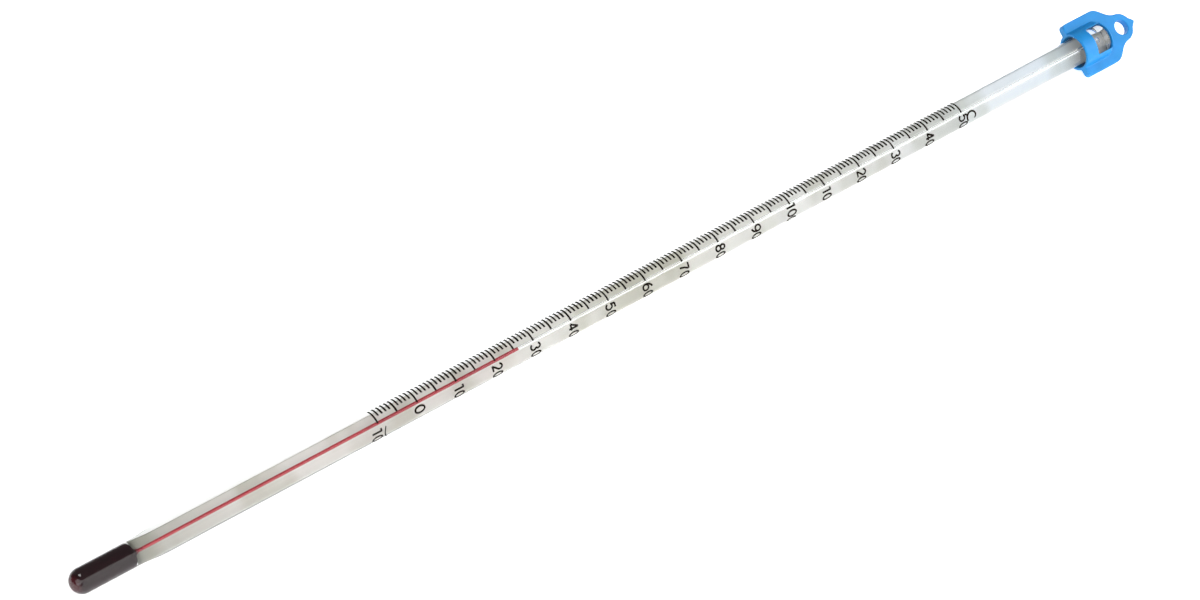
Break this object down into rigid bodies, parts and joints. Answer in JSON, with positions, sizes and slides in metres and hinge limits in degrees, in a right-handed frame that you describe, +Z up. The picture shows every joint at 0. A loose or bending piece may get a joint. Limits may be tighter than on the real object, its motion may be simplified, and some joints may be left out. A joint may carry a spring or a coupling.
{
  "type": "darkroom thermometer",
  "caption": "Spirit-in-glass stem thermometer, -10 to 150 C, with an enamel-backed capillary, a bulb at one end and a push-on anti-roll hanging cap at the other.",
  "frame": {"origin": "centre of the footprint on the bench that the thermometer lies on", "axes": "+X runs along the stem towards the cap (the stem slopes up by 0.32 degrees from bulb to cap), +Z is up, and the scale faces -Y and up"},
  "size_m": [0.3122, 0.0134, 0.0098],
  "materials": {
    "clear_glass": "fire-polished clear glass",
    "white_enamel": "opal white enamel fused into the glass",
    "bulb_spirit": "dyed liquid, near black maroon in bulk",
    "red_spirit": "dyed red liquid",
    "scale_ink": "fired dark brown ink",
    "blue_pvc": "soft blue PVC, satin"
  },
  "bodies": {
    "glass": {"glass_stem": "clear_glass", "glass_bulb": "clear_glass", "bulb_spirit": "bulb_spirit", "enamel_backing": "white_enamel", "ten_degree_mark_minus_010": "scale_ink", "five_degree_mark_minus_005": "scale_ink", "ten_degree_mark_plus_000": "scale_ink", "five_degree_mark_plus_005": "scale_ink", "ten_degree_mark_plus_010": "scale_ink", "five_degree_mark_plus_015": "scale_ink", "ten_degree_mark_plus_020": "scale_ink", "five_degree_mark_plus_025": "scale_ink", "ten_degree_mark_plus_030": "scale_ink", "five_degree_mark_plus_035": "scale_ink", "ten_degree_mark_plus_040": "scale_ink", "five_degree_mark_plus_045": "scale_ink", "ten_degree_mark_plus_050": "scale_ink", "five_degree_mark_plus_055": "scale_ink", "ten_degree_mark_plus_060": "scale_ink", "five_degree_mark_plus_065": "scale_ink", "ten_degree_mark_plus_070": "scale_ink", "five_degree_mark_plus_075": "scale_ink", "ten_degree_mark_plus_080": "scale_ink", "five_degree_mark_plus_085": "scale_ink", "ten_degree_mark_plus_090": "scale_ink", "five_degree_mark_plus_095": "scale_ink", "ten_degree_mark_plus_100": "scale_ink", "five_degree_mark_plus_105": "scale_ink", "ten_degree_mark_plus_110": "scale_ink", "five_degree_mark_plus_115": "scale_ink", "ten_degree_mark_plus_120": "scale_ink", "five_degree_mark_plus_125": "scale_ink", "ten_degree_mark_plus_130": "scale_ink", "five_degree_mark_plus_135": "scale_ink", "ten_degree_mark_plus_140": "scale_ink", "five_degree_mark_plus_145": "scale_ink", "ten_degree_mark_plus_150": "scale_ink"},
    "spirit": {"spirit_column": "red_spirit", "column_meniscus": "red_spirit"},
    "cap": {"hanger_cap": "blue_pvc"}
  },
  "joints": [
    {"name": "temperature_reading", "type": "slide", "parent": "glass", "child": "spirit", "axis": [1, 0, 0.0056], "range_m": [-0.03956, 0.1344], "deforming": ["spirit_column"]},
    {"name": "cap_pull_off", "type": "slide", "parent": "glass", "child": "cap", "axis": [1, 0, 0.0056], "range_m": [0, 0.016]}
  ]
}
